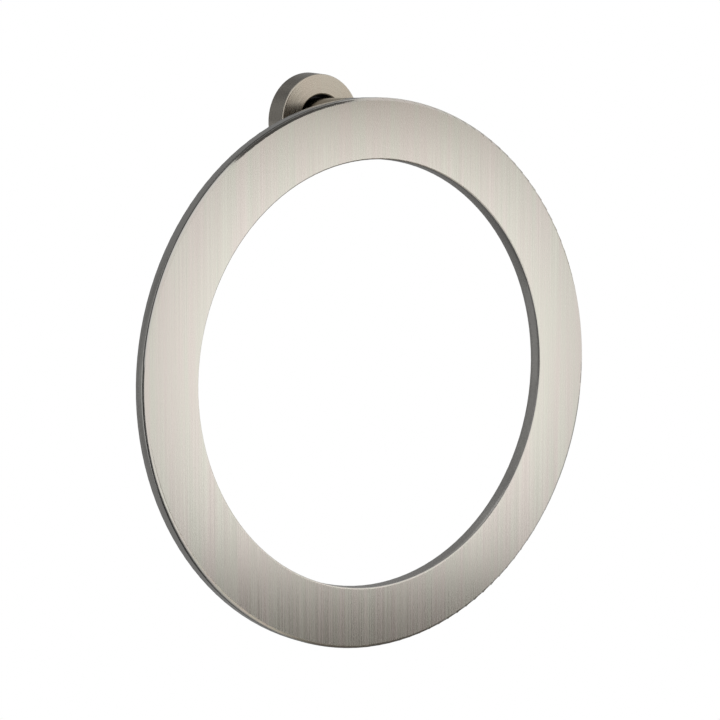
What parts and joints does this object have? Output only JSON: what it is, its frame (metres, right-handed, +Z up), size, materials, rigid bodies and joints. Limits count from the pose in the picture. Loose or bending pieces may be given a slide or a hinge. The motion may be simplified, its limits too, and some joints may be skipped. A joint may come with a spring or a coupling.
{
  "type": "towel ring",
  "caption": "Wall towel ring: a flat brushed metal ring, fixed to a short round post that stands out of a small round wall rosette.",
  "frame": {"origin": "centre of the wall bracket's back on the wall, on the axis of the post", "axes": "-Y out of the wall towards the room, along the post; +Z up; +X to the right for someone who faces the ring"},
  "size_m": [0.215, 0.046, 0.2251],
  "materials": {
    "ring_finish": "brushed nickel, fine upright grain",
    "turned_finish": "brushed nickel, turned grain",
    "bracket_steel": "turned steel with a black oxide skin",
    "screw_steel": "plain stainless"
  },
  "bodies": {
    "root": {"ring": "ring_finish", "post": "turned_finish", "rosette": "turned_finish", "wall_bracket": "bracket_steel", "post_set_screw": "screw_steel", "rosette_set_screw": "screw_steel", "ring_screw": "screw_steel", "ring_pin": "screw_steel"}
  },
  "joints": []
}
